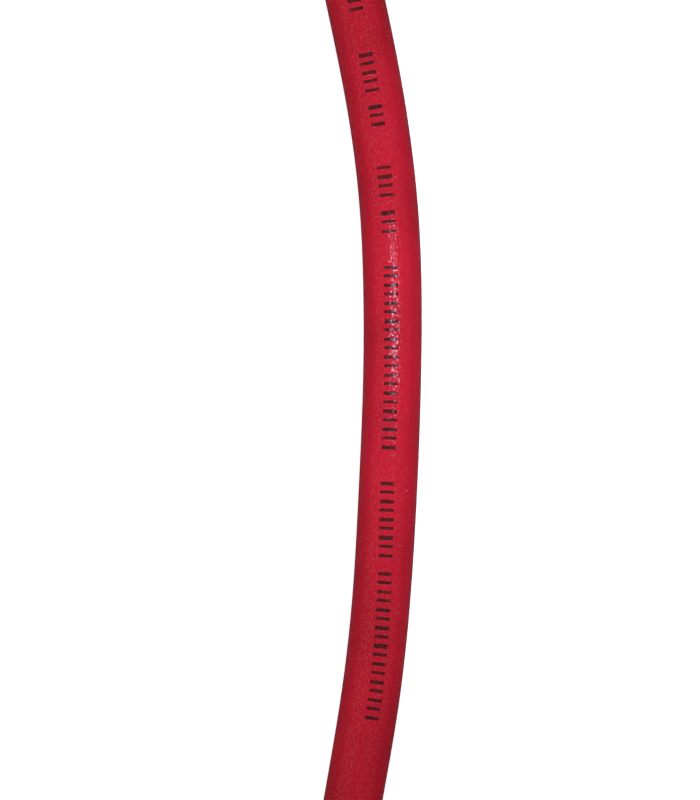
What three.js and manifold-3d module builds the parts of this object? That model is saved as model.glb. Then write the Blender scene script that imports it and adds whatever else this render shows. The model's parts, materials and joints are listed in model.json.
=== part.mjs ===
// A refrigerant charging hose, laid on a level surface: a gently bowed stretch, then a tied coil of one
// and a half turns. One end has a 45 degree brass fitting with a core depressor, the other a straight one.
// Millimetres, +Z up. The route is drawn in a frame of its own, and the last lines move the part so that
// the origin is under the middle of its outline.
import * as THREE from "three";
import * as BufferGeometryUtils from "three/addons/utils/BufferGeometryUtils.js";
import Module from "manifold-3d";

const wasm = await Module();
wasm.setup();

// Clearance between pieces that touch on the real product, and how far a cutting solid runs on
const touchGap = 0.3;
const cutOverrun = 1;

// Hose
const hoseDiameter = 11.5;
const hoseBore = 5;
const hoseSides = 14;
const boreSides = 8;
const hoseSteps = 32;
const tailSteps = 10;

// Coil
const coilMeanRadius = 57.5;
const coilCentre = new THREE.Vector2(53.6, -146.25);
const coilSegments = 60;
const strandArcPoints = 6;
const strandWeldDeg = 28;
const strandsHigh = 2;
const freeStretchEndsAbove = 24;

// Free stretch: its reach beyond the coil's straight lead, and its traced line, from the near mouth on, as
// [distance before the lead, place across, height]
const freeStretchReach = 207.25;
const nearHeadingDeg = 102.3;
const tracedLine = [
  [207.25, -0.56, 8.5],
  [200.25, 0.97, 8.3],
  [180.75, 4.87, 6.4],
  [161.25, 7.41, 6],
  [141.75, 8.28, 5.8],
  [122.25, 8.09, 5.75],
  [102.75, 7.31, 5.75],
  [83.25, 6.1, 5.75],
  [63.75, 3.9, 5.75],
  [44.25, 0.58, 5.75],
  [24.75, -2.4, 5.75],
];

// Tail: places past the coil's middle line, and heights on the way down from the upper strand
const tailReach = 63.5;
const tailPlaces = [36, 47, 56];
const tailHeights = [13, 10.1, 8.8];
const tailTop = 16.1;

// Ferrules
const ferruleLength = 20;
const ferruleWall = 1.3;
const ferruleEndWall = 2;
const ferruleLip = 0.5;
const crimpCount = 3;
const crimpWidth = 2.6;
const crimpDepth = 0.6;
const crimpPitch = 4.8;
const firstCrimp = 4.2;

// Stems
const stemBore = 2.6;
const barbStart = 2;
const barbCount = 4;
const barbPitch = 3.4;
const barbDepth = 0.35;
const neckDiameter = 8;
const straightNeck = 5;
const bentNeckLead = 2.5;
const bentNeckRun = 1.5;
const bendRadius = 12;
const bendDeg = 45;
const flangeThickness = 1.6;

// Nuts, for a 7/16 inch flare thread
const threadDiameter = 11.1;
const threadDepth = 0.35;
const nutDiameter = 17;
const nutLength = 16;
const nutRearWall = 3.6;
const nutCollarDiameter = 13.4;
const nutCollarLength = 2.4;
const nutChamfer = 1.1;
const mouthChamfer = 0.8;

// Gaskets and the core depressor
const gasketThickness = 2.2;
const gasketHole = 5.2;
const depressorThickness = 0.8;
const depressorArmWidth = 1.4;
const depressorPinDiameter = 1.3;
const depressorPinReach = 1.2;

// Tie
const tieThickness = 1.2;
const tieWidth = 7;
const tieLift = 1.5;

// Facets
const turnedSegments = 32;
const smallSegments = 20;
const stemBoreSides = 10;
const bentStemSteps = 10;
const straightStemSteps = 2;

const hoseRadius = hoseDiameter / 2;
const coilHeight = strandsHigh * hoseDiameter;
const neckRadius = neckDiameter / 2;
const socketRadius = threadDiameter / 2 - threadDepth;
const ferruleBoreRadius = hoseRadius + touchGap;
const ferruleRadius = ferruleBoreRadius + ferruleWall;
const hoseInsertion = ferruleLength - ferruleEndWall - touchGap;
const restHeight = nutDiameter / 2;

// Route of the free stretch, from the bent fitting's ferrule to the coil's straight lead
const leadY = coilCentre.y + freeStretchEndsAbove;
const leadX = coilCentre.x - coilMeanRadius;
const [[tracedReach, nearMouthAcross], ...tracedRest] = tracedLine;
const nearMouth = new THREE.Vector3(nearMouthAcross, leadY + freeStretchReach, restHeight);
const nearHeading = heading(nearHeadingDeg);
const freeRoute = [
  nearMouth.clone().addScaledVector(nearHeading, hoseInsertion),
  nearMouth,
  ...tracedRest.map(([before, across, height]) => new THREE.Vector3(
    across,
    leadY + before * freeStretchReach / tracedReach,
    Math.max(height, hoseRadius),
  )),
  new THREE.Vector3(leadX, leadY, hoseRadius),
];

// Route of the tail, off the top of the coil and down to the straight fitting's ferrule
const tailX = coilCentre.x + coilMeanRadius;
const farMouth = new THREE.Vector3(tailX, coilCentre.y + tailReach, restHeight);
const farHeading = heading(90);
const tailRoute = [
  new THREE.Vector3(tailX, coilCentre.y + freeStretchEndsAbove, tailTop),
  ...tailPlaces.map((past, place) => new THREE.Vector3(tailX, coilCentre.y + past, tailHeights[place])),
  farMouth,
  farMouth.clone().addScaledVector(farHeading, hoseInsertion),
];

const rubber = new THREE.MeshStandardMaterial({ color: "#b4242f", roughness: 0.62, metalness: 0 });
const brass = new THREE.MeshStandardMaterial({ color: "#c79a4b", roughness: 0.34, metalness: 1 });
const neoprene = new THREE.MeshStandardMaterial({ color: "#1d1c1b", roughness: 0.7, metalness: 0 });
const strap = new THREE.MeshStandardMaterial({ color: "#26262a", roughness: 0.8, metalness: 0 });

// A level direction, from its angle to +X
function heading(degrees) {
  const angle = THREE.MathUtils.degToRad(degrees);
  return new THREE.Vector3(Math.cos(angle), Math.sin(angle), 0);
}

// A closed mesh as a solid that can be cut and joined
function toSolid(geometry) {
  const bare = geometry.clone();
  bare.deleteAttribute("normal");
  bare.deleteAttribute("uv");
  const merged = BufferGeometryUtils.mergeVertices(bare, 1e-4);
  const vertProperties = new Float32Array(merged.attributes.position.array);
  const triVerts = new Uint32Array(merged.index.array);
  return new wasm.Manifold(new wasm.Mesh({ numProp: 3, vertProperties, triVerts }));
}

// A solid as three.js geometry
function toGeometry(solid) {
  const mesh = solid.getMesh();
  const geometry = new THREE.BufferGeometry();
  geometry.setAttribute("position", new THREE.BufferAttribute(mesh.vertProperties, 3));
  geometry.setIndex(new THREE.BufferAttribute(mesh.triVerts, 1));
  geometry.computeVertexNormals();
  return geometry;
}

// A turned piece about +Z, from its closed outline of [radius, height] corners, anticlockwise
function turned(outline, segments) {
  const corners = [...outline, outline[0]].map(([radius, height]) => new THREE.Vector2(radius, height));
  return new THREE.LatheGeometry(corners, segments).rotateX(Math.PI / 2);
}

// A round bar or, with a bore, a pipe along a curve
function pipe(curve, outerRadius, boreRadius, steps, sides) {
  const section = new THREE.Shape().absarc(0, 0, outerRadius, 0, 2 * Math.PI, false);
  if (boreRadius > 0) {
    section.holes.push(new THREE.Path().absarc(0, 0, boreRadius, 0, 2 * Math.PI, true));
  }
  return new THREE.ExtrudeGeometry(section, { steps, extrudePath: curve, curveSegments: sides / 2 });
}

// Sets local +Z along a level direction and local +X to the right of it, seen from above
function frameAt(place, direction) {
  const right = new THREE.Vector3(direction.y, -direction.x, 0);
  const down = new THREE.Vector3(0, 0, -1);
  return new THREE.Matrix4().makeBasis(right, down, direction).setPosition(place);
}

// A line that runs up +Z, bends toward +X by an angle, and runs straight on
class BentLine extends THREE.Curve {
  constructor(start, lead, angle, run) {
    super();
    Object.assign(this, { start, lead, angle, run, arc: angle * bendRadius });
  }

  getPoint(t, target = new THREE.Vector3()) {
    const along = t * (this.lead + this.arc + this.run);
    const before = Math.min(along, this.lead);
    const turn = Math.min(Math.max(along - this.lead, 0), this.arc) / bendRadius;
    const after = Math.max(along - this.lead - this.arc, 0);
    return target.set(
      bendRadius * (1 - Math.cos(turn)) + after * Math.sin(this.angle),
      0,
      this.start + before + bendRadius * Math.sin(turn) + after * Math.cos(this.angle),
    );
  }
}

// Crimped collar over the hose's end: its mouth at local height 0, its end wall round the stem's neck
function ferruleGeometry() {
  const outline = [
    [ferruleBoreRadius, 0],
    [ferruleRadius - ferruleLip, 0],
    [ferruleRadius, ferruleLip],
  ];
  for (let crimp = 0; crimp < crimpCount; crimp += 1) {
    const low = firstCrimp + crimp * crimpPitch;
    outline.push(
      [ferruleRadius, low],
      [ferruleRadius - crimpDepth, low + crimpWidth / 2],
      [ferruleRadius, low + crimpWidth],
    );
  }
  outline.push(
    [ferruleRadius, ferruleLength - ferruleLip],
    [ferruleRadius - ferruleLip, ferruleLength],
    [neckRadius + touchGap, ferruleLength],
    [neckRadius + touchGap, ferruleLength - ferruleEndWall],
    [ferruleBoreRadius, ferruleLength - ferruleEndWall],
  );
  return turned(outline, turnedSegments);
}

// The barbed tail that stands in the hose's bore
function barbOutline() {
  const radius = hoseBore / 2 - touchGap;
  const outline = [[0, barbStart], [radius - barbDepth, barbStart]];
  for (let barb = 0; barb < barbCount; barb += 1) {
    const low = barbStart + barb * barbPitch;
    outline.push([radius, low + barbPitch * 0.8], [radius - barbDepth, low + barbPitch]);
  }
  const shoulder = ferruleLength - ferruleEndWall;
  outline.push([radius - barbDepth, shoulder], [neckRadius, shoulder]);
  outline.push([neckRadius, ferruleLength], [0, ferruleLength]);
  return outline;
}

// Length of straight neck that the nut's rear wall, its clearance and the flange take up
const noseLength = nutRearWall + touchGap + flangeThickness;

// Stem in the ferrule's frame: barbs, neck, the bend if it has one, and the flange inside the nut
function stemGeometry(angle, lead, run) {
  const neckLine = new BentLine(ferruleLength, lead, angle, run + noseLength);
  const boreStart = barbStart - cutOverrun;
  const boreLead = ferruleLength - boreStart + lead;
  const boreLine = new BentLine(boreStart, boreLead, angle, run + noseLength + cutOverrun);
  const steps = angle > 0 ? bentStemSteps : straightStemSteps;
  const neck = toSolid(pipe(neckLine, neckRadius, 0, steps, smallSegments));
  const barbs = toSolid(turned(barbOutline(), smallSegments));
  const flangeOutline = [
    [0, 0],
    [socketRadius - touchGap, 0],
    [socketRadius - touchGap, flangeThickness],
    [0, flangeThickness],
  ];
  const flange = turned(flangeOutline, turnedSegments);
  flange.rotateY(angle);
  const flangeFoot = neckLine.getPoint(1 - flangeThickness / neckLine.getLength());
  flange.translate(flangeFoot.x, 0, flangeFoot.z);
  const bore = toSolid(pipe(boreLine, stemBore / 2, 0, 2 * steps, stemBoreSides));
  return toGeometry(neck.add(barbs).add(toSolid(flange)).subtract(bore));
}

// Swivel nut, its rear face at local height 0 and its mouth at the top
function nutGeometry() {
  const collarRadius = nutCollarDiameter / 2;
  const radius = nutDiameter / 2;
  return turned([
    [neckRadius + touchGap, 0],
    [collarRadius, 0],
    [collarRadius, nutCollarLength],
    [radius - nutChamfer, nutCollarLength],
    [radius, nutCollarLength + nutChamfer],
    [radius, nutLength - nutChamfer],
    [radius - nutChamfer, nutLength],
    [socketRadius + mouthChamfer, nutLength],
    [socketRadius, nutLength - mouthChamfer],
    [socketRadius, nutRearWall],
    [neckRadius + touchGap, nutRearWall],
  ], turnedSegments);
}

const gasketFoot = noseLength + touchGap;

// Sealing ring on the flange's face, in the nut's frame
function gasketGeometry() {
  const top = gasketFoot + gasketThickness;
  return turned([
    [gasketHole / 2, gasketFoot],
    [socketRadius - touchGap, gasketFoot],
    [socketRadius - touchGap, top],
    [gasketHole / 2, top],
  ], turnedSegments);
}

// Cross of two arms inside the gasket's hole, with a pin that stands past the gasket's face
function depressorGeometry() {
  const armLength = gasketHole - 2 * touchGap;
  const middle = gasketFoot + depressorThickness / 2;
  const arm = new THREE.BoxGeometry(armLength, depressorArmWidth, depressorThickness);
  const crossArm = new THREE.BoxGeometry(depressorArmWidth, armLength, depressorThickness);
  const pinHeight = gasketThickness + depressorPinReach;
  const pinRadius = depressorPinDiameter / 2;
  const pin = new THREE.CylinderGeometry(pinRadius, pinRadius, pinHeight, 16).rotateX(Math.PI / 2);
  pin.translate(0, 0, gasketFoot + pinHeight / 2);
  const cross = toSolid(arm.translate(0, 0, middle)).add(toSolid(crossArm.translate(0, 0, middle)));
  return toGeometry(cross.add(toSolid(pin)));
}

// Half of the coil's outline on one side: the strands' round flanks, joined where they meet
function coilOutline() {
  const outer = [];
  const inner = [];
  for (let strand = 0; strand < strandsHigh; strand += 1) {
    const middle = hoseRadius + strand * hoseDiameter;
    const lowDeg = strand === 0 ? -90 : -90 + strandWeldDeg;
    const highDeg = strand === strandsHigh - 1 ? 90 : 90 - strandWeldDeg;
    for (let point = 0; point <= strandArcPoints; point += 1) {
      const share = point / strandArcPoints;
      const angle = THREE.MathUtils.degToRad(lowDeg + share * (highDeg - lowDeg));
      const reach = hoseRadius * Math.cos(angle);
      const height = middle + hoseRadius * Math.sin(angle);
      outer.push([coilMeanRadius + reach, height]);
      if (Math.abs(reach) > 1e-6) {
        inner.unshift([coilMeanRadius - reach, height]);
      }
    }
  }
  return [...outer, ...inner];
}

// A closed band outline round the coil's two strands, with its inner and outer edges set off by a margin
function tieBand(innerMargin, outerMargin, width) {
  const edge = (margin) => {
    const half = hoseRadius + touchGap + margin;
    const low = tieThickness - margin;
    const high = coilHeight + tieLift + touchGap + margin;
    const path = new THREE.Shape();
    path.absarc(0, low + half, half, Math.PI, 2 * Math.PI, false);
    path.absarc(0, high - half, half, 0, Math.PI, false);
    path.closePath();
    return path;
  };
  const band = edge(outerMargin);
  band.holes.push(edge(innerMargin));
  const geometry = new THREE.ExtrudeGeometry(band, { depth: width, bevelEnabled: false, curveSegments: 12 });
  geometry.translate(0, 0, -width / 2);
  const radial = new THREE.Vector3(0, 1, 0);
  const up = new THREE.Vector3(0, 0, 1);
  const along = new THREE.Vector3(1, 0, 0);
  geometry.applyMatrix4(new THREE.Matrix4().makeBasis(radial, up, along));
  return geometry.translate(coilCentre.x, coilCentre.y - coilMeanRadius, 0);
}

// Space that the coil takes, with its clearance, for cutting the free stretches off beside it
function coilRoom() {
  const inner = coilMeanRadius - hoseRadius - touchGap;
  const outer = coilMeanRadius + hoseRadius + touchGap;
  const top = coilHeight + touchGap;
  const room = turned([[inner, -cutOverrun], [outer, -cutOverrun], [outer, top], [inner, top]], coilSegments);
  return toSolid(room.translate(coilCentre.x, coilCentre.y, 0));
}

function hoseGeometry(route, steps) {
  const curve = new THREE.CatmullRomCurve3(route, false, "centripetal");
  const outside = toSolid(pipe(curve, hoseRadius, 0, steps, hoseSides));
  const bore = toSolid(pipe(longer(curve), hoseBore / 2, 0, steps, boreSides));
  return toGeometry(outside.subtract(bore).subtract(coilRoom()));
}

// The same curve run on at both ends, so that a bore cuts through
function longer(curve) {
  const points = curve.getSpacedPoints(60);
  const startStep = points[0].clone().sub(points[1]).setLength(cutOverrun);
  const endStep = points.at(-1).clone().sub(points.at(-2)).setLength(cutOverrun);
  points.unshift(points[0].clone().add(startStep));
  points.push(points.at(-1).clone().add(endStep));
  return new THREE.CatmullRomCurve3(points, false, "centripetal");
}

function coilGeometry() {
  const ring = turned(coilOutline(), coilSegments).translate(coilCentre.x, coilCentre.y, 0);
  const cutMargin = 2 * tieThickness;
  const seat = toSolid(tieBand(-touchGap, cutMargin, tieWidth + 2 * touchGap));
  return toGeometry(toSolid(ring).subtract(seat));
}

function named(name, geometry, material) {
  const mesh = new THREE.Mesh(geometry, material);
  mesh.name = name;
  return mesh;
}

// An end: ferrule and stem in the ferrule's frame, nut and gasket in the frame after the neck
function fitting(end, mouth, direction, angle, lead, run) {
  const atFerrule = new THREE.Group();
  atFerrule.applyMatrix4(frameAt(mouth, direction));
  atFerrule.add(named(`ferrule_${end}`, ferruleGeometry(), brass));
  atFerrule.add(named(`stem_${end}`, stemGeometry(angle, lead, run), brass));
  const atNut = new THREE.Group();
  const neckLine = new BentLine(ferruleLength, lead, angle, run);
  atNut.position.copy(neckLine.getPoint(1));
  atNut.rotation.y = angle;
  atNut.add(named(`nut_${end}`, nutGeometry(), brass));
  atNut.add(named(`gasket_${end}`, gasketGeometry(), neoprene));
  atFerrule.add(atNut);
  return { atFerrule, atNut };
}

const group = new THREE.Group();
group.add(named("hose", hoseGeometry(freeRoute, hoseSteps), rubber));
group.add(named("hose_coil", coilGeometry(), rubber));
group.add(named("hose_tail", hoseGeometry(tailRoute, tailSteps), rubber));

const bendAngle = THREE.MathUtils.degToRad(bendDeg);
const bentEnd = fitting("bent", nearMouth, nearHeading, bendAngle, bentNeckLead, bentNeckRun);
bentEnd.atNut.add(named("core_depressor", depressorGeometry(), brass));
const straightEnd = fitting("straight", farMouth, farHeading, 0, straightNeck, 0);
group.add(bentEnd.atFerrule, straightEnd.atFerrule);
group.add(named("coil_tie", tieBand(0, tieThickness, tieWidth), strap));

// The origin is under the middle of the outline, on the surface that the hose lies on
group.updateMatrixWorld(true);
const outlineBox = new THREE.Box3().setFromObject(group, true);
const middle = outlineBox.getCenter(new THREE.Vector3());
group.position.set(-middle.x, -middle.y, -outlineBox.min.z);
group.updateMatrixWorld(true);

export default group;
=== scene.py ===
# A refrigerant charging hose: red rubber with brass flare ends, its spare length tied in a coil.
# Metres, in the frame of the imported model. The camera looks straight down on the bowed stretch.
import json
import math

import bpy
import numpy as np
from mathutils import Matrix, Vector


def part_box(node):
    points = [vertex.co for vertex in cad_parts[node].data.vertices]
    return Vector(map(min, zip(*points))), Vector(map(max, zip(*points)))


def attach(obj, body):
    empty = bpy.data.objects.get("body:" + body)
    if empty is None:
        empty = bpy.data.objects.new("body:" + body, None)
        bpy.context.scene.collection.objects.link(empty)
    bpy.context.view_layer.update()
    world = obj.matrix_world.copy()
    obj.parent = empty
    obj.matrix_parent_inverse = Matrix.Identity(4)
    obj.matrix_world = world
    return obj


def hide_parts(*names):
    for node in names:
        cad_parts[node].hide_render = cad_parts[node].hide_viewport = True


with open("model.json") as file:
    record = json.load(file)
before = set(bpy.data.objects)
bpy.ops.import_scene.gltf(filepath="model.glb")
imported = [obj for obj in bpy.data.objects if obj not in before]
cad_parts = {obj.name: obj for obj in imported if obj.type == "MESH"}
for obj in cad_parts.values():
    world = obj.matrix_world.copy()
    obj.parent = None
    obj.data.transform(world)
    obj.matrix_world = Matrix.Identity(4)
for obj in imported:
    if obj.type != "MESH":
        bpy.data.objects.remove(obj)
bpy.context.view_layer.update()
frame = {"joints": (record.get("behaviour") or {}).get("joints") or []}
mm = 0.001
print("frame loaded")


# Small tools
# A hex sRGB colour as linear RGBA: c / 12.92 below 0.04045, else ((c + 0.055) / 1.055) ** 2.4
def linearColour(hexText):
    channels = [int(hexText[k:k + 2], 16) / 255 for k in (1, 3, 5)]
    return tuple([c / 12.92 if c < 0.04045 else ((c + 0.055) / 1.055) ** 2.4 for c in channels] + [1.0])


# One node with its settings (properties or input values), its links (a node's first output, or one socket)
# and, on a ramp, its stops as (place, colour) pairs from left to right
def addNode(tree, kind, settings=None, links=None, stops=()):
    made = tree.nodes.new(kind)
    for key, value in (settings or {}).items():
        if isinstance(key, str) and hasattr(made, key):
            setattr(made, key, value)
        else:
            made.inputs[key].default_value = value
    for key, source in (links or {}).items():
        tree.links.new(getattr(source, "outputs", [source])[0], made.inputs[key])
    for number, (place, colour) in enumerate(stops):
        elements = made.color_ramp.elements
        if number == 0:
            elements.remove(elements[1])
            elements[0].position = place
        stop = elements[0] if number == 0 else elements.new(place)
        stop.color = colour
    return made


# An empty material with its output
def newMaterial(name):
    material = bpy.data.materials.new(name)
    material.use_nodes = True
    tree = material.node_tree
    tree.nodes.clear()
    output = addNode(tree, "ShaderNodeOutputMaterial")
    return material, tree, output


black = (0, 0, 0, 1)
white = (1, 1, 1, 1)


# Straight centre line: centre(t) = origin + t * axis, with up along +Z where the axis is level
def straightPath(origin, axis):
    axis = np.array(axis, float)
    side = np.cross(axis, (0, 0, 1.0))
    up = np.cross(side, axis)

    def at(t):
        centre = np.array(origin) + t[:, None] * axis
        return centre, np.tile(up, (len(t), 1)), np.tile(side, (len(t), 1))

    return at


# Centre line that runs straight for lead, turns level to the right on a radius through angle, and runs on
def bentPath(origin, axis, lead, radius, angle):
    axis = np.array(axis, float)
    side = np.cross(axis, (0, 0, 1.0))
    up = np.cross(side, axis)

    def at(t):
        turn = np.clip((t - lead) / radius, 0, angle)
        before = np.minimum(t, lead)
        after = np.maximum(t - lead - radius * angle, 0)
        ahead = before + radius * np.sin(turn) + after * math.cos(angle)
        aside = radius * (1 - np.cos(turn)) + after * math.sin(angle)
        centre = np.array(origin) + ahead[:, None] * axis + aside[:, None] * side
        turnedSide = np.cos(turn)[:, None] * side - np.sin(turn)[:, None] * axis
        return centre, np.tile(up, (len(t), 1)), turnedSide

    return at


# Natural cubic spline through points, by chord length: second derivatives from the tridiagonal system,
# then resampled to even steps. side = tangent x Z, up = side x tangent
def splinePath(points, samples=6000):
    points = np.array(points, float)
    knots = np.concatenate([[0], np.cumsum(np.linalg.norm(np.diff(points, axis=0), axis=1))])
    gaps = np.diff(knots)
    count = len(points)
    system = np.eye(count)
    right = np.zeros((count, 3))
    inner = np.arange(1, count - 1)
    system[inner, inner] = 2 * (gaps[:-1] + gaps[1:])
    system[inner, inner - 1] = gaps[:-1]
    system[inner, inner + 1] = gaps[1:]
    slopes = np.diff(points, axis=0) / gaps[:, None]
    right[1:-1] = 6 * np.diff(slopes, axis=0)
    bend = np.linalg.solve(system, right)
    t = np.linspace(0, knots[-1], samples)
    k = np.clip(np.searchsorted(knots, t, side="right") - 1, 0, count - 2)
    h, a, b = gaps[k][:, None], (t - knots[k])[:, None], (knots[k + 1] - t)[:, None]
    line = (bend[k] * b**3 + bend[k + 1] * a**3) / (6 * h)
    line += (points[k] / h - bend[k] * h / 6) * b + (points[k + 1] / h - bend[k + 1] * h / 6) * a
    length = np.concatenate([[0], np.cumsum(np.linalg.norm(np.diff(line, axis=0), axis=1))])
    tangent = np.gradient(line, length, axis=0)
    tangent /= np.linalg.norm(tangent, axis=1)[:, None]

    def at(distance):
        centre = np.stack([np.interp(distance, length, line[:, axis]) for axis in range(3)], 1)
        ahead = np.stack([np.interp(distance, length, tangent[:, axis]) for axis in range(3)], 1)
        side = np.cross(ahead, (0, 0, 1.0))
        side /= np.linalg.norm(side, axis=1)[:, None]
        return centre, np.cross(side, ahead), side

    return at, float(length[-1])


# A smooth piece from points, quads and the quads' UV corners, turned so that its faces point outwards: the
# sum of a . (b x c) + a . (c x d) over the quads is negative when they face inwards. Caps close open ends
def addPiece(name, points, quads, lay, caps=(), smooth=True):
    a, b, c, d = (points[quads[:, k]] - points.mean(0) for k in range(4))
    volume = np.einsum("ij,ij->", a, np.cross(b, c) + np.cross(c, d))
    mesh = bpy.data.meshes.new(name)
    mesh.from_pydata(points.tolist(), [], quads.tolist() + list(caps))
    flat = np.zeros((len(mesh.loops), 2), np.float32)
    flat[:4 * len(quads)] = lay.reshape(-1, 2)
    mesh.uv_layers.new(name="lay").data.foreach_set("uv", flat.ravel())
    mesh.polygons.foreach_set("use_smooth", np.arange(len(mesh.polygons)) < len(quads) * smooth)
    if volume < 0:
        mesh.flip_normals()
    mesh.update()
    piece = bpy.data.objects.new(name, mesh)
    bpy.context.scene.collection.objects.link(piece)
    return piece


# How deep each point of a piece lies in its relief, from 0 to 1, as the attribute "hollow"
def keepHollow(piece, hollow):
    values = hollow.astype(np.float32).ravel()
    piece.data.attributes.new("hollow", "FLOAT", "POINT").data.foreach_set("value", values)
    return piece


# Closed outline of (place along, radius) corners, each edge cut into steps, its corners eased by averaging
def closedOutline(corners, step, easing=2):
    corners = np.array(corners, float)
    following = np.roll(corners, -1, axis=0)
    edges = []
    for start, end in zip(corners, following):
        cuts = max(2, math.ceil(np.linalg.norm(end - start) / step))
        edges.append(start + (end - start) * np.arange(cuts)[:, None] / cuts)
    outline = np.concatenate(edges)
    for _ in range(easing):
        outline = (np.roll(outline, 1, axis=0) + 2 * outline + np.roll(outline, -1, axis=0)) / 4
    return outline


# A mesh from a closed outline carried along a path: point(t, a) = centre(t) + (r + relief(t, r, a)) *
# (cos a * up(t) + sin a * side(t)). Its UV map "lay" holds metres along the outline and around, and
# "hollow" holds how deep each point lies in the relief, from 0 to 1
def carriedPiece(name, outline, path, columns, relief=None, around=None, deepest=1.0):
    t, radius = outline[:, 0], outline[:, 1]
    centre, up, side = path(t)
    angle = np.arange(columns) * 2 * math.pi / columns
    reach = np.repeat(radius[:, None], columns, 1)
    depth = np.zeros_like(reach)
    if relief is not None:
        depth = relief(t[:, None], radius[:, None], angle[None, :])
        reach = reach + depth
    spoke = np.cos(angle)[None, :, None] * up[:, None, :] + np.sin(angle)[None, :, None] * side[:, None, :]
    points = centre[:, None, :] + reach[:, :, None] * spoke
    rows = len(t)
    i, j = np.arange(rows)[:, None], np.arange(columns)[None, :]
    corner = [((i + a) % rows) * columns + (j + b) % columns for a, b in ((0, 0), (0, 1), (1, 1), (1, 0))]
    quads = np.stack(corner, -1).reshape(-1, 4)
    edgeLength = np.linalg.norm(np.roll(outline, -1, axis=0) - outline, axis=1)
    along = np.concatenate([[0], np.cumsum(edgeLength)]) if around is None else np.append(t, t[0])
    turns = np.arange(columns + 1) * 2 * math.pi / columns
    widths = np.append(radius, radius[0])
    offsets = np.zeros(rows + 1) if around is None else around(np.append(t, t[0]))
    across = widths[:, None] * ((turns[None, :] + math.pi - offsets[:, None]) % (2 * math.pi) - math.pi)
    if around is None:
        across = widths[:, None] * turns[None, :]
    lay = np.stack([np.repeat(along[:, None], columns + 1, 1), across], -1)
    cornerLay = np.stack([lay[i + p, j + q] for p, q in ((0, 0), (0, 1), (1, 1), (1, 0))], 2)
    cornerLay = cornerLay.reshape(-1, 4, 2)
    if around is not None:  # a quad across the seam takes the side of its first corner
        jump = cornerLay[:, :, 1] - cornerLay[:, :1, 1]
        girth = 2 * math.pi * np.repeat(widths[:-1], columns)[:, None]
        cornerLay[:, :, 1] -= girth * np.round(jump / np.maximum(girth, 1e-9))
    piece = addPiece(name, points.reshape(-1, 3), quads, cornerLay)
    return keepHollow(piece, np.clip(-depth / deepest, 0, 1))


# Gives a piece its finish, its moving body and the CAD nodes that it stands for
def dress(piece, material, body, slot, *nodes):
    piece.data.materials.append(material)
    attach(piece, body)
    if nodes:
        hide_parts(*nodes)
    return piece


# The route, drawn in the frame of the photograph's middle and moved to where the coil lies
hoseSize = {
    "diameter": 11.5 * mm,
    "bore": 5.0 * mm,
    "insertion": 17.7 * mm,
    "sides": 44,
    "step": 1.6 * mm,
}
coilSize = {
    "centre": (53.6 * mm, -146.25 * mm),
    "radius": 57.5 * mm,
    "pointDeg": 15,
    "riseFromDeg": 445,
    "riseToDeg": 522,
    "endDeg": 720,
    "tieDeg": 270,
    "tieLift": 1.5 * mm,
    "tieSpreadDeg": 24,
}
hoseRadius = hoseSize["diameter"] / 2

# Points that the route is given, in millimetres from the picture's middle: the ferrules' mouths, the free
# stretch, which follows the picture, and the far end's way down from the coil
routeSize = {
    "nearMouth": (-0.56, 85, 8.5),
    "nearHeadingDeg": 102.3,
    "free": [
        [0.97, 78, 8.3],
        [4.87, 58.5, 6.4],
        [7.41, 39, 6],
        [8.28, 19.5, 5.8],
        [8.09, 0, 5.75],
        [7.31, -19.5, 5.75],
        [6.1, -39, 5.75],
        [3.9, -58.5, 5.75],
        [0.58, -78, 5.75],
        [-2.4, -97.5, 5.75],
        [-3.9, -122.25, 5.75],
    ],
    "tail": [
        [111.1, -122.25, 16.3],
        [111.1, -110.25, 13.3],
        [111.1, -99.25, 10.3],
        [111.1, -90.25, 8.85],
    ],
    "farMouth": (111.1, -82.75, 8.5),
}
nearTurn = math.radians(routeSize["nearHeadingDeg"])
nearHeading = np.array([math.cos(nearTurn), math.sin(nearTurn), 0])
farHeading = np.array([0, 1.0, 0])

coilLow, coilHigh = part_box("hose_coil")
coilMiddle = np.array(coilLow + coilHigh) / 2
shift = np.array([coilMiddle[0] - coilSize["centre"][0], coilMiddle[1] - coilSize["centre"][1], coilLow[2]])
nearMouth = np.array(routeSize["nearMouth"]) * mm + shift
farMouth = np.array(routeSize["farMouth"]) * mm + shift


# Coil centre line: a circle whose height is one strand's, with a smooth rise of one diameter, and a small
# lift where the tie passes under: z = r + d * (1 - cos(pi * share)) / 2 + lift * exp(-(away / spread)^2)
def coilPoints():
    degrees = np.arange(180, coilSize["endDeg"] + 1, coilSize["pointDeg"])
    riseDegrees = coilSize["riseToDeg"] - coilSize["riseFromDeg"]
    share = np.clip((degrees - coilSize["riseFromDeg"]) / riseDegrees, 0, 1)
    away = (degrees - coilSize["tieDeg"] + 180) % 360 - 180
    height = hoseRadius + hoseSize["diameter"] * (1 - np.cos(math.pi * share)) / 2
    height = height + coilSize["tieLift"] * np.exp(-((away / coilSize["tieSpreadDeg"]) ** 2))
    angle = np.radians(degrees)
    x = coilSize["centre"][0] + coilSize["radius"] * np.cos(angle)
    y = coilSize["centre"][1] + coilSize["radius"] * np.sin(angle)
    return np.stack([x, y, height], 1) + shift


route = np.concatenate([
    [nearMouth + nearHeading * hoseSize["insertion"], nearMouth],
    np.array(routeSize["free"]) * mm + shift,
    coilPoints(),
    np.array(routeSize["tail"]) * mm + shift,
    [farMouth, farMouth + farHeading * hoseSize["insertion"]],
])
hosePath, hoseLength = splinePath(route)
print(f"hose route {hoseLength:.4f} m")

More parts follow.
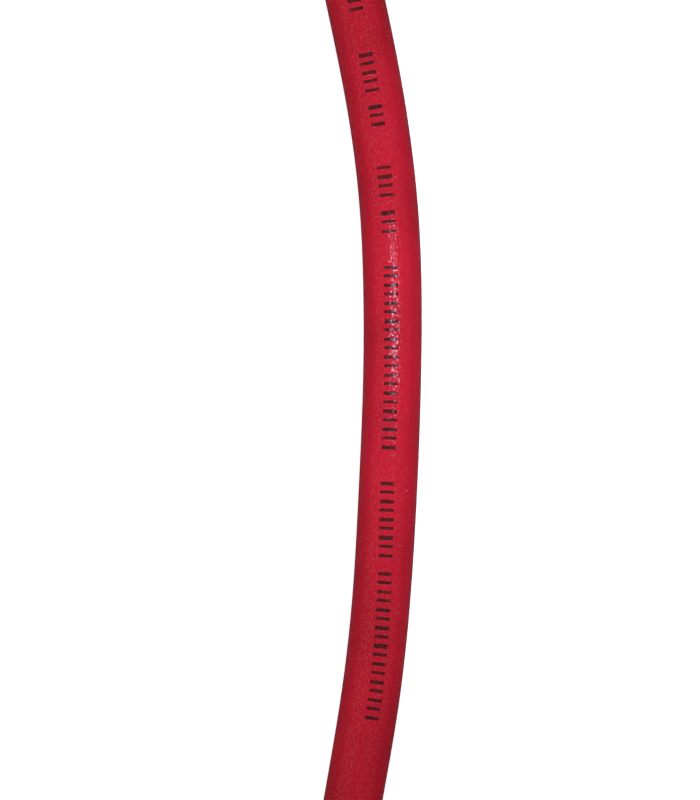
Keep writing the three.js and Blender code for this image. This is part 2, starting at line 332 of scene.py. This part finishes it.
# Camera, straight above the photograph's middle
view = {
    "distance": 0.9,
    "pictureHeight": 800 * 11.5 * mm / 59,
    "sensor": 36,
}
camera = bpy.data.objects.new("camera", bpy.data.cameras.new("camera"))
camera.location = (shift[0], shift[1], hoseRadius + view["distance"])
camera.data.sensor_width = view["sensor"]
camera.data.lens = view["sensor"] * view["distance"] / view["pictureHeight"]
bpy.context.scene.collection.objects.link(camera)
bpy.context.scene.camera = camera
print("camera placed")

# Extruded rubber: a matt red skin, faintly mottled, whose fine grain breaks the sheen into specks, with
# pale dust specks and a lay line of plain dark ink bars that is worn thin in places
rubberLook = {
    "body": "#c70b27",
    "pale": "#d00e2a",
    "deep": "#b90a22",
    "dust": "#d89a9a",
    "ink": "#3a0405",
    "grain": 0.4 * mm,  # real grain is about 0.1 mm, too fine to show from here
    "fleck": 0.46 * mm,  # glossy flecks, coarse for the same reason
    "mottle": 14 * mm,
    "dustSpeck": 0.9 * mm,
    "inkWear": 2.5 * mm,
    "inkHeight": 2.8 * mm,
    "inkPitch": 3.5 * mm,
    "firstBar": 0.22,  # places and half widths of the two bars, as shares of a pitch
    "firstBarHalf": (0.08, 0.05),
    "secondBar": 0.69,
    "secondBarHalf": 0.085,
    "secondBarMissing": 0.14,
    "layLength": 182 * mm,
    "words": ((17.7, 27.9), (33.5, 51), (56.9, 71.5), (77.4, 113.4), (119.2, 165)),
}


# Ink coverage: 1 inside a word, near the lay line and on one of the two bars of each pitch. The lay repeats
# every layLength, a first bar's width varies by chance, and a few second bars are missing
def inkMask(tree, along, around):
    look = rubberLook
    stops = []
    for start, end in look["words"]:
        stops.append((start * mm / look["layLength"], white))
        stops.append((end * mm / look["layLength"], black))
    lays = addNode(tree, "ShaderNodeMath", {"operation": "DIVIDE", 1: look["layLength"]}, {0: along})
    layShare = addNode(tree, "ShaderNodeMath", {"operation": "FRACT"}, {0: lays})
    words = addNode(tree, "ShaderNodeValToRGB", links={0: layShare}, stops=stops)
    words.color_ramp.interpolation = "CONSTANT"
    pitches = addNode(tree, "ShaderNodeMath", {"operation": "DIVIDE", 1: look["inkPitch"]}, {0: along})
    pitch = addNode(tree, "ShaderNodeMath", {"operation": "FLOOR"}, {0: pitches})
    share = addNode(tree, "ShaderNodeMath", {"operation": "FRACT"}, {0: pitches})
    chance = addNode(tree, "ShaderNodeTexWhiteNoise", {"noise_dimensions": "1D"}, {"W": pitch})
    least, spread = look["firstBarHalf"]
    half = addNode(tree, "ShaderNodeMath", {"operation": "MULTIPLY_ADD", 1: spread, 2: least}, {0: chance})
    first = addNode(tree, "ShaderNodeMath", {"operation": "COMPARE", 1: look["firstBar"]},
                    {0: share, 2: half})
    second = addNode(tree, "ShaderNodeMath", {"operation": "COMPARE", 1: look["secondBar"],
                                              2: look["secondBarHalf"]}, {0: share})
    kept = addNode(tree, "ShaderNodeMath", {"operation": "GREATER_THAN", 1: look["secondBarMissing"]},
                   {0: chance})
    second = addNode(tree, "ShaderNodeMath", {"operation": "MULTIPLY"}, {0: second, 1: kept})
    either = addNode(tree, "ShaderNodeMath", {"operation": "MAXIMUM"}, {0: first, 1: second})
    near = addNode(tree, "ShaderNodeMath", {"operation": "COMPARE", 1: 0, 2: look["inkHeight"] / 2},
                   {0: around})
    bars = addNode(tree, "ShaderNodeMath", {"operation": "MULTIPLY"}, {0: either, 1: near})
    return addNode(tree, "ShaderNodeMath", {"operation": "MULTIPLY"}, {0: bars, 1: words})


def extrudedRubber():
    look = rubberLook
    material, tree, output = newMaterial("extruded red rubber")
    lay = addNode(tree, "ShaderNodeUVMap", {"uv_map": "lay"})
    parts = addNode(tree, "ShaderNodeSeparateXYZ", links={0: lay})
    mottle = addNode(tree, "ShaderNodeTexNoise", {"Scale": 1 / look["mottle"], "Detail": 4.0},
                     {"Vector": lay})
    grain = addNode(tree, "ShaderNodeTexNoise", {"Scale": 1 / look["grain"], "Detail": 1.0}, {"Vector": lay})
    tones = addNode(tree, "ShaderNodeValToRGB", links={0: mottle},
                    stops=[(0.3, linearColour(look["deep"])), (0.5, linearColour(look["body"])),
                           (0.72, linearColour(look["pale"]))])
    grained = addNode(tree, "ShaderNodeMix", {"data_type": "RGBA", "blend_type": "MULTIPLY", "Factor": 0.25},
                      {6: tones, 7: grain})
    dust = addNode(tree, "ShaderNodeTexNoise", {"Scale": 1 / look["dustSpeck"], "Detail": 1.0},
                   {"Vector": lay})
    dustShare = addNode(tree, "ShaderNodeValToRGB", links={0: dust},
                        stops=[(0.77, black), (0.8, (0.5, 0.5, 0.5, 1))])
    dusty = addNode(tree, "ShaderNodeMix", {"data_type": "RGBA", 7: linearColour(look["dust"])},
                    {0: dustShare, 6: grained.outputs[2]})
    wearNoise = addNode(tree, "ShaderNodeTexNoise", {"Scale": 1 / look["inkWear"], "Detail": 2.0},
                        {"Vector": lay})
    wear = addNode(tree, "ShaderNodeValToRGB", links={0: wearNoise},
                   stops=[(0.3, (0.82, 0.82, 0.82, 1)), (0.55, (0.97, 0.97, 0.97, 1))])
    mask = inkMask(tree, parts.outputs[0], parts.outputs[1])
    coverage = addNode(tree, "ShaderNodeMath", {"operation": "MULTIPLY"}, {0: mask, 1: wear})
    skin = addNode(tree, "ShaderNodeMix", {"data_type": "RGBA", 7: linearColour(look["ink"])},
                   {0: coverage, 6: dusty.outputs[2]})
    roughness = addNode(tree, "ShaderNodeMapRange", {"To Min": 0.76, "To Max": 0.92}, {"Value": grain})
    bump = addNode(tree, "ShaderNodeBump", {"Strength": 0.7, "Distance": 0.08 * mm}, {"Height": grain})
    flecks = addNode(tree, "ShaderNodeTexNoise", {"Scale": 1 / look["fleck"], "Detail": 1.0}, {"Vector": lay})
    gloss = addNode(tree, "ShaderNodeMapRange",
                    {"From Min": 0.5, "From Max": 0.6, "To Min": 0.0, "To Max": 0.52}, {"Value": flecks})
    gleam = addNode(tree, "ShaderNodeBump", {"Strength": 1.0, "Distance": 0.055 * mm}, {"Height": grain})
    shader = addNode(tree, "ShaderNodeBsdfPrincipled",
                     {"IOR": 1.5, "Specular IOR Level": 0.22, "Coat Roughness": 0.16},
                     {"Base Color": skin.outputs[2], "Roughness": roughness, "Normal": bump,
                      "Coat Weight": gloss, "Coat Normal": gleam})
    tree.links.new(shader.outputs[0], output.inputs[0])
    return material


# Turned brass: bright yellow metal with fine tool rings round its axis, turning dark brown by how deep each
# point lies in the relief, darkest in the hollows
brassLook = {
    "bright": "#d7ab5e",
    "dull": "#a87c3c",
    "hollowBrown": "#3a2a16",
    "ring": 0.22 * mm,  # tool marks: their spacing along the axis and their length around it
    "ringLength": 9 * mm,
    "stain": 4 * mm,
}


def turnedBrass():
    look = brassLook
    material, tree, output = newMaterial("turned brass")
    lay = addNode(tree, "ShaderNodeUVMap", {"uv_map": "lay"})
    streak = addNode(tree, "ShaderNodeMapping", {"Scale": (1 / look["ring"], 1 / look["ringLength"], 1)},
                     {"Vector": lay})
    rings = addNode(tree, "ShaderNodeTexNoise", {"Scale": 1.0, "Detail": 3.0}, {"Vector": streak})
    place = addNode(tree, "ShaderNodeTexCoord").outputs["Object"]
    stain = addNode(tree, "ShaderNodeTexNoise", {"Scale": 1 / look["stain"], "Detail": 5.0},
                    {"Vector": place})
    tones = addNode(tree, "ShaderNodeValToRGB", links={0: stain},
                    stops=[(0.32, linearColour(look["dull"])), (0.58, linearColour(look["bright"]))])
    # Dark brown mixed in by relief depth: darkest in the knurl, crimp and thread hollows
    hollow = addNode(tree, "ShaderNodeAttribute", {"attribute_name": "hollow"})
    hollowShare = addNode(tree, "ShaderNodeMath", {"operation": "MULTIPLY", 1: 0.8}, {0: hollow.outputs["Fac"]})
    colour = addNode(tree, "ShaderNodeMix", {"data_type": "RGBA", 7: linearColour(look["hollowBrown"])},
                     {0: hollowShare, 6: tones})
    roughness = addNode(tree, "ShaderNodeMapRange", {"To Min": 0.2, "To Max": 0.42}, {"Value": stain})
    bump = addNode(tree, "ShaderNodeBump", {"Strength": 0.25, "Distance": 0.02 * mm}, {"Height": rings})
    shader = addNode(tree, "ShaderNodeBsdfPrincipled", {"Metallic": 1.0},
                     {"Base Color": colour.outputs[2], "Roughness": roughness, "Normal": bump})
    tree.links.new(shader.outputs[0], output.inputs[0])
    return material


# Moulded neoprene: soft black with a fine matt grain and a greyer bloom
neopreneLook = {
    "black": "#151414",
    "bloom": "#2b2927",
    "bloomPatch": 2.5 * mm,
    "grain": 0.25 * mm,
}


def mouldedNeoprene():
    look = neopreneLook
    material, tree, output = newMaterial("moulded neoprene")
    place = addNode(tree, "ShaderNodeTexCoord").outputs["Object"]
    bloom = addNode(tree, "ShaderNodeTexNoise", {"Scale": 1 / look["bloomPatch"], "Detail": 4.0},
                    {"Vector": place})
    tones = addNode(tree, "ShaderNodeValToRGB", links={0: bloom},
                    stops=[(0.35, linearColour(look["black"])), (0.7, linearColour(look["bloom"]))])
    grain = addNode(tree, "ShaderNodeTexNoise", {"Scale": 1 / look["grain"], "Detail": 2.0},
                    {"Vector": place})
    bump = addNode(tree, "ShaderNodeBump", {"Strength": 0.3, "Distance": 0.03 * mm}, {"Height": grain})
    shader = addNode(tree, "ShaderNodeBsdfPrincipled", {"Roughness": 0.62, "IOR": 1.5},
                     {"Base Color": tones, "Normal": bump})
    tree.links.new(shader.outputs[0], output.inputs[0])
    return material


# Woven nylon: black crosswise ribs with a faint sheen on the yarn
nylonLook = {
    "shade": "#131316",
    "yarn": "#3a3a40",
    "rib": 0.55 * mm,
}


def wovenNylon():
    look = nylonLook
    material, tree, output = newMaterial("woven nylon strap")
    lay = addNode(tree, "ShaderNodeUVMap", {"uv_map": "lay"})
    wave = 1 / (look["rib"] * 2 * math.pi)
    ribs = addNode(tree, "ShaderNodeTexWave", {"Scale": wave * 2, "Distortion": 0.4, "bands_direction": "X"},
                   {"Vector": lay})
    yarn = addNode(tree, "ShaderNodeTexWave", {"Scale": wave * 3, "Distortion": 0.3, "bands_direction": "Y"},
                   {"Vector": lay})
    weave = addNode(tree, "ShaderNodeMath", {"operation": "MULTIPLY"}, {0: ribs, 1: yarn})
    tones = addNode(tree, "ShaderNodeValToRGB", links={0: weave},
                    stops=[(0.0, linearColour(look["shade"])), (0.9, linearColour(look["yarn"]))])
    bump = addNode(tree, "ShaderNodeBump", {"Strength": 0.6, "Distance": 0.1 * mm}, {"Height": weave})
    shader = addNode(tree, "ShaderNodeBsdfPrincipled", {"Roughness": 0.7, "Sheen Weight": 0.3},
                     {"Base Color": tones, "Normal": bump})
    tree.links.new(shader.outputs[0], output.inputs[0])
    return material


rubber = extrudedRubber()
brass = turnedBrass()
neoprene = mouldedNeoprene()
nylon = wovenNylon()
print("materials made")


# The hose's skin and its lay line, in millimetres from the ferrule's mouth and radians on the girth
skinSize = {
    "longWave": (0.03, 23),  # height and length of the two gentle waves of extruded rubber
    "shortWave": (0.02, 7),
    "under": 0.05,  # keeps the waves inside the hose's diameter
    "layFrom": 0.05,
    "layTurn": (95, 50, 0.2),  # where the lay starts to turn, over what length, and how far
    "laySway": (170, 120, 0.5),  # where it starts to sway, and the sway's length and size
}


# Skin relief: long sin(t / length + 1.3 sin a) + short sin(t / length + 2 a) - under, on the outside only
def hoseRelief(t, radius, angle):
    (high, length), (low, step) = skinSize["longWave"], skinSize["shortWave"]
    wave = high * np.sin(t / (length * mm) + 1.3 * np.sin(angle)) + low * np.sin(t / (step * mm) + 2 * angle)
    return np.where(radius > hoseRadius * 0.8, (wave - skinSize["under"]) * mm, 0)


# Where the lay line lies on the girth: near the top of the bowed stretch, then turning and swaying slowly
def layLineAngle(t):
    along = t / mm - hoseSize["insertion"] / mm
    turnFrom, turnLength, turn = skinSize["layTurn"]
    swayFrom, swayLength, sway = skinSize["laySway"]
    share = np.clip((along - turnFrom) / turnLength, 0, 1)
    swayed = sway * np.sin(np.maximum(along - swayFrom, 0) / swayLength)
    return skinSize["layFrom"] - turn * share**2 * (3 - 2 * share) - swayed


# Out along the skin and back along the bore; the ends close themselves
def hoseOutline():
    steps = math.ceil(hoseLength / hoseSize["step"])
    out = np.linspace(0, hoseLength, steps)
    outer = np.stack([out, np.full(steps, hoseRadius)], 1)
    back = np.linspace(hoseLength, 0, steps // 2)
    inner = np.stack([back, np.full(len(back), hoseSize["bore"] / 2)], 1)
    return np.concatenate([outer, inner])


hosePiece = carriedPiece("charging_hose", hoseOutline(), hosePath, hoseSize["sides"], hoseRelief,
                         around=layLineAngle)
dress(hosePiece, rubber, "hose_body", "hose_rubber", "hose", "hose_coil", "hose_tail")
print("hose made")


# Triangle wave from 0 to 1 with period 1
def triangle(x):
    return 1 - np.abs(2 * (x - np.floor(x)) - 1)


# Smooth step that is 1 between low and high and falls to 0 over soft outside them
def between(x, low, high, soft):
    rise = np.clip((x - low) / soft + 1, 0, 1)
    fall = np.clip((high - x) / soft + 1, 0, 1)
    return rise * rise * (3 - 2 * rise) * fall * fall * (3 - 2 * fall)


# Fittings: all their sizes are in millimetres, as on the solids
ferruleSize = {
    "length": 20,
    "bore": 6.05,
    "radius": 7.35,
    "endWall": 2,
    "neckHole": 4.3,
    "crimps": (4.2, 9.0, 13.8),
    "crimpWidth": 2.6,
    "crimpDepth": 0.6,
    "jaws": 8,
}


# A ferrule's crimps: a round groove each, a little deeper under each of the crimping jaws
def ferruleRelief(t, radius, angle):
    size = ferruleSize
    depth = 0
    for low in size["crimps"]:
        across = np.clip((t / mm - low) / size["crimpWidth"], 0, 1)
        depth = depth + np.sin(math.pi * across) ** 0.8 * (0.86 + 0.14 * np.cos(size["jaws"] * angle))
    outside = radius > (size["radius"] - 0.8) * mm
    return np.where(outside, -depth * size["crimpDepth"] * mm, 0)


nutSize = {
    "length": 16,
    "radius": 8.5,
    "collar": 6.7,
    "collarLength": 2.4,
    "rearWall": 3.6,
    "hole": 4.3,
    "socket": 5.2,
    "chamfer": 1.1,
    "mouth": 0.8,
    "knurls": 46,
    "knurlDepth": 0.34,
    "knurlFrom": 3.8,
    "knurlTo": 13.2,
    "threadPitch": 1.27,
    "threadDepth": 0.3,
    "threadFrom": 8.2,
    "threadTo": 14.8,
}


# A nut's diamond knurl on the outside, depth * (1 - pyramid), and its thread's ridges inside
def nutRelief(t, radius, angle):
    size = nutSize
    height = t / mm
    turn = angle * size["knurls"] / (2 * math.pi)
    rise = height * size["knurls"] / (2 * math.pi * size["radius"])
    pyramid = np.minimum(triangle(turn + rise), triangle(turn - rise))
    band = between(height, size["knurlFrom"], size["knurlTo"], 0.5)
    knurl = -size["knurlDepth"] * (1 - 2 * np.minimum(pyramid, 0.5)) * band
    ridge = triangle(height / size["threadPitch"] - angle / (2 * math.pi))
    threaded = between(height, size["threadFrom"], size["threadTo"], 0.4)
    thread = -size["threadDepth"] * ridge * threaded
    outside = radius > (size["radius"] - 0.5) * mm
    inside = (radius < (size["socket"] + 0.3) * mm) & (radius > (size["socket"] - 0.3) * mm)
    return (np.where(outside, knurl, 0) + np.where(inside, thread, 0)) * mm


# Mouth, rounded lips, and the end wall with its hole for the neck
def ferruleOutline():
    size = ferruleSize
    lip = 0.5
    corners = [(0, size["bore"]), (0, size["radius"] - lip), (lip, size["radius"]),
               (size["length"] - lip, size["radius"]), (size["length"], size["radius"] - lip),
               (size["length"], size["neckHole"]), (size["length"] - size["endWall"], size["neckHole"]),
               (size["length"] - size["endWall"], size["bore"])]
    return closedOutline(corners, 0.2) * mm


stemSize = {
    "neck": 4,
    "bore": 1.3,
    "barb": 2.2,
    "barbDepth": 0.35,
    "barbStart": 2,
    "barbCount": 4,
    "barbPitch": 3.4,
    "flange": 4.9,
    "flangeThickness": 1.6,
    "bendRadius": 12,
}


# From the barbs to the flange's face and back down the bore; neckLength is from the ferrule to the nut
def stemOutline(neckLength):
    size = stemSize
    corners = [(size["barbStart"], size["bore"]), (size["barbStart"], size["barb"] - size["barbDepth"])]
    for barb in range(size["barbCount"]):
        low = size["barbStart"] + barb * size["barbPitch"]
        corners.append((low + 0.8 * size["barbPitch"], size["barb"]))
        corners.append((low + size["barbPitch"], size["barb"] - size["barbDepth"]))
    shoulder = ferruleSize["length"] - ferruleSize["endWall"]
    flangeFoot = ferruleSize["length"] + neckLength + nutSize["rearWall"] + 0.3
    face = flangeFoot + size["flangeThickness"]
    corners += [(shoulder, size["barb"] - size["barbDepth"]), (shoulder, size["neck"]),
                (flangeFoot, size["neck"]), (flangeFoot, size["flange"]), (face, size["flange"]),
                (face, size["bore"])]
    return closedOutline(corners, 0.35, easing=1) * mm


# Rear wall and collar, the knurled barrel between its chamfers, and back in along the threaded socket
def nutOutline():
    size = nutSize
    corners = [(0, size["hole"]), (0, size["collar"] - 0.3), (0.3, size["collar"]),
               (size["collarLength"], size["collar"]),
               (size["collarLength"], size["radius"] - size["chamfer"]),
               (size["collarLength"] + size["chamfer"], size["radius"]),
               (size["length"] - size["chamfer"], size["radius"]),
               (size["length"], size["radius"] - size["chamfer"]),
               (size["length"], size["socket"] + size["mouth"]),
               (size["length"] - size["mouth"], size["socket"]),
               (size["rearWall"], size["socket"]), (size["rearWall"], size["hole"])]
    return closedOutline(corners, 0.2, easing=1) * mm


gasketSize = {
    "foot": 5.8,
    "thickness": 2.2,
    "hole": 2.6,
    "radius": 4.9,
}


# A ring of square section, well rounded
def gasketOutline():
    size = gasketSize
    top = size["foot"] + size["thickness"]
    corners = [(size["foot"], size["hole"]), (size["foot"], size["radius"]), (top, size["radius"]),
               (top, size["hole"])]
    return closedOutline(corners, 0.2, easing=3) * mm


depressorSize = {
    "arm": 2.3,
    "halfWidth": 0.7,
    "thickness": 0.8,
    "pin": 0.65,
    "pinLength": 3.4,
    "sides": 72,
}


# Core depressor: a plate whose edge is a plus sign's, radius(a) = distance to the arms' outline, with a
# pin on it. Rings run from the plate's foot out, up, in to the pin, up it and over its round tip
def depressorPiece(name, path):
    size = depressorSize
    sides = size["sides"]
    angle = np.arange(sides) * 2 * math.pi / sides
    c, s = np.abs(np.cos(angle)), np.abs(np.sin(angle))
    arm = np.minimum(size["arm"] / np.maximum(c, s), size["halfWidth"] / np.maximum(np.minimum(c, s), 1e-6))
    foot = gasketSize["foot"]
    top = foot + size["thickness"]
    tip = gasketSize["foot"] + size["pinLength"]
    pin = np.full(sides, size["pin"])
    rings = [(foot, arm * 0.02), (foot, arm * 0.5), (foot, arm * 0.96), (foot + 0.06, arm), (top - 0.06, arm),
             (top, arm * 0.96), (top, np.maximum(arm * 0.6, pin * 1.05)), (top, pin * 1.02),
             (top + 0.05, pin), (tip - 0.3, pin), (tip - 0.08, pin * 0.8), (tip, pin * 0.45),
             (tip, pin * 0.02)]
    t = np.array([ring[0] for ring in rings]) * mm
    reach = np.array([ring[1] for ring in rings]) * mm
    centre, up, side = path(t)
    spoke = np.cos(angle)[None, :, None] * up[:, None, :] + np.sin(angle)[None, :, None] * side[:, None, :]
    points = (centre[:, None, :] + reach[:, :, None] * spoke).reshape(-1, 3)
    rows = len(rings)
    i, j = np.arange(rows - 1)[:, None], np.arange(sides)[None, :]
    corners = [(i + a) * sides + (j + b) % sides for a, b in ((0, 0), (0, 1), (1, 1), (1, 0))]
    quads = np.stack(corners, -1).reshape(-1, 4)
    caps = [list(range(sides))[::-1], list(range((rows - 1) * sides, rows * sides))]
    return keepHollow(addPiece(name, points, quads, np.zeros((len(quads), 4, 2)), caps, smooth=False),
                      np.zeros(len(points)))


# Where each nut stands, from its joint: the middle of its rear face and the way it faces
joints = {joint["child"]: joint for joint in frame["joints"]}


# One end's pieces: the neck runs straight for lead, bends, and runs on into the nut, in millimetres
def makeEnd(end, mouth, heading, bendAngle, lead, run):
    neckLength = lead + bendAngle * stemSize["bendRadius"] + run
    nutJoint = joints[f"{end}_nut"]
    ferrulePath = straightPath(mouth, heading)
    nutPath = straightPath(nutJoint["pos_m"], nutJoint["axis"])
    stemPath = ferrulePath
    if bendAngle > 0:
        bendFrom = (ferruleSize["length"] + lead) * mm
        stemPath = bentPath(mouth, heading, bendFrom, stemSize["bendRadius"] * mm, bendAngle)
    ferrule = carriedPiece(f"{end}_crimped_ferrule", ferruleOutline(), ferrulePath, 96, ferruleRelief,
                           deepest=1.2 * mm)
    stem = carriedPiece(f"{end}_barbed_stem", stemOutline(neckLength), stemPath, 64)
    nut = carriedPiece(f"{end}_knurled_nut", nutOutline(), nutPath, nutSize["knurls"] * 6, nutRelief,
                       deepest=0.34 * mm)
    gasket = carriedPiece(f"{end}_sealing_gasket", gasketOutline(), nutPath, 72)
    dress(ferrule, brass, "hose_body", "brass", f"ferrule_{end}")
    dress(stem, brass, "hose_body", "brass", f"stem_{end}")
    dress(nut, brass, f"{end}_nut", "brass", f"nut_{end}")
    dress(gasket, neoprene, "hose_body", "gasket_rubber", f"gasket_{end}")
    pieces = [ferrule, stem, nut, gasket]
    if end == "bent":
        depressor = depressorPiece("valve_core_depressor", nutPath)
        pieces.append(dress(depressor, brass, "hose_body", "brass", "core_depressor"))
    return pieces


bentEnd = makeEnd("bent", nearMouth, nearHeading, math.radians(45), 2.5, 1.5)
straightEnd = makeEnd("straight", farMouth, farHeading, 0.0, 5, 0)
print("fittings made")

# Tie: a flat strap wound nearly twice round both strands, its loose end lying on the coil's outer side
tieSize = {
    "thickness": 0.58 * mm,
    "layerStep": 0.6 * mm,
    "width": 7 * mm,
    "gap": 0.3 * mm,
    "turns": 1.9,
    "climbFrom": 0.9,
    "rows": 240,
    "sides": 28,
    "cornering": 0.35,
}


# Strap centre line: a stadium round the two strands that climbs by one layer before its second turn. The
# section is a superellipse: point(u, b) = line(u) + across(b) * outward(u) + along(b) * the coil's tangent
def tiePiece():
    size = tieSize
    arc = math.pi * hoseRadius
    low = hoseRadius + coilSize["tieLift"]
    high = low + hoseSize["diameter"]
    turns = np.linspace(0, size["turns"], size["rows"])
    climb = np.clip((turns - size["climbFrom"]) / (1 - size["climbFrom"]), 0, 1)
    reach = hoseRadius + size["gap"] + size["thickness"] / 2 + size["layerStep"] * climb**2 * (3 - 2 * climb)
    marks = np.cumsum([0, arc, hoseSize["diameter"], arc, hoseSize["diameter"]])
    walked = (turns % 1) * marks[-1]
    angle = np.interp(walked, marks, np.array([1, 2, 2, 3, 3]) * math.pi)
    centre = np.interp(walked, marks, (low, low, high, high, low))
    bend = np.arange(size["sides"]) * 2 * math.pi / size["sides"]
    across = np.sign(np.sin(bend)) * np.abs(np.sin(bend)) ** size["cornering"] * size["thickness"] / 2
    along = np.sign(np.cos(bend)) * np.abs(np.cos(bend)) ** size["cornering"] * size["width"] / 2
    outward = reach[:, None] + across[None, :]
    points = np.zeros((size["rows"], size["sides"], 3))
    points[:, :, 0] = coilMiddle[0] + along[None, :]
    points[:, :, 1] = coilMiddle[1] - coilSize["radius"] + outward * np.cos(angle)[:, None]
    points[:, :, 2] = coilLow[2] + centre[:, None] + outward * np.sin(angle)[:, None]
    i, j = np.arange(size["rows"] - 1)[:, None], np.arange(size["sides"])[None, :]
    shifts = ((0, 0), (0, 1), (1, 1), (1, 0))
    corners = [(i + a) * size["sides"] + (j + b) % size["sides"] for a, b in shifts]
    quads = np.stack(corners, -1).reshape(-1, 4)
    sides, count = size["sides"], size["rows"] * size["sides"]
    caps = [list(range(sides))[::-1], list(range(count - sides, count))]
    length = turns * marks[-1]
    girth = np.append(along, along[0])
    lay = [np.stack(np.broadcast_arrays(length[i + a], girth[j + b]), -1) for a, b in shifts]
    return addPiece("coil_strap", points.reshape(-1, 3), quads, np.stack(lay, 2), caps)


tie = dress(tiePiece(), nylon, "hose_body", "strap", "coil_tie")
hosePath(np.linspace(0, hoseLength, 400))[0].tolist()

# Stage: a pale floor and soft light
stageLook = {
    "floorSize": 6.0,
    "floorSeen": 0.9,
    "floorGlow": 0.68,
    "floorToLight": 0.34,
    "skyColour": (1.0, 0.97, 0.93, 1),
    "skyStrength": 0.09,
}
floorMesh = bpy.data.meshes.new("floor")
halfFloor = stageLook["floorSize"] / 2
floorCorners = [(x * halfFloor, y * halfFloor, 0) for x, y in ((-1, -1), (1, -1), (1, 1), (-1, 1))]
floorMesh.from_pydata(floorCorners, [], [(0, 1, 2, 3)])
floor = bpy.data.objects.new("floor", floorMesh)
bpy.context.scene.collection.objects.link(floor)


# Floor: white to the eye, a middle grey to the light that reaches the hose from below
def paleFloor():
    material, tree, output = newMaterial("pale floor")
    seen = addNode(tree, "ShaderNodeLightPath").outputs["Is Camera Ray"]
    dim, pale = (stageLook["floorToLight"],) * 3, (stageLook["floorSeen"],) * 3
    plain = addNode(tree, "ShaderNodeBsdfDiffuse", {"Color": (*dim, 1)})
    bare = addNode(tree, "ShaderNodeBsdfDiffuse", {"Color": (*pale, 1)})
    glow = addNode(tree, "ShaderNodeEmission", {"Color": white, "Strength": stageLook["floorGlow"]})
    bright = addNode(tree, "ShaderNodeAddShader", links={0: bare, 1: glow})
    mixed = addNode(tree, "ShaderNodeMixShader", links={0: seen, 1: plain, 2: bright})
    tree.links.new(mixed.outputs[0], output.inputs[0])
    return material


floorMesh.materials.append(paleFloor())

world = bpy.data.worlds.new("studio")
world.use_nodes = True
world.node_tree.nodes["Background"].inputs[0].default_value = stageLook["skyColour"]
world.node_tree.nodes["Background"].inputs[1].default_value = stageLook["skyStrength"]
bpy.context.scene.world = world
bpy.context.scene.view_settings.view_transform = "Standard"


# A soft rectangular lamp at a place, tipped about X and turned about Z so that it faces a point
def addLamp(name, place, aim, size, watts, colour):
    lamp = bpy.data.lights.new(name, "AREA")
    lamp.shape = "RECTANGLE"
    lamp.size, lamp.size_y = size
    lamp.energy = watts
    lamp.color = colour
    made = bpy.data.objects.new(name, lamp)
    made.location = place
    direction = np.array(aim) - np.array(place)
    direction = direction / np.linalg.norm(direction)
    flat = math.hypot(direction[0], direction[1])
    heading = math.atan2(direction[0], -direction[1]) + math.pi
    made.rotation_euler = (math.atan2(flat, -direction[2]), 0, heading)
    made.visible_camera = False
    bpy.context.scene.collection.objects.link(made)


# Lamps: place from the picture's middle and point faced, in metres, then size, watts and colour. The close
# one is narrow and cool, and draws the sheen
lampLook = {
    "overhead": ((0.12, 0.35, 1.15), (0, 0, 0), (1.3, 1.3), 2.4, (1, 1, 1)),
    "left": ((-1.0, 0.1, 0.9), (0, 0, 0), (1.4, 1.4), 6.0, (1, 1, 1)),
    "right": ((1.0, -0.1, 0.9), (0, 0, 0), (1.4, 1.4), 3.7, (1, 1, 1)),
    "close": ((0.026, 0.0165, 0.125), (0.026, 0.0165, 0), (0.066, 0.006), 0.13, (0.74, 0.76, 1)),
}
middle = np.array([shift[0], shift[1], 0])
for name, (place, aim, size, watts, colour) in lampLook.items():
    addLamp(name, middle + place, middle + aim, size, watts, colour)
print("stage lit")
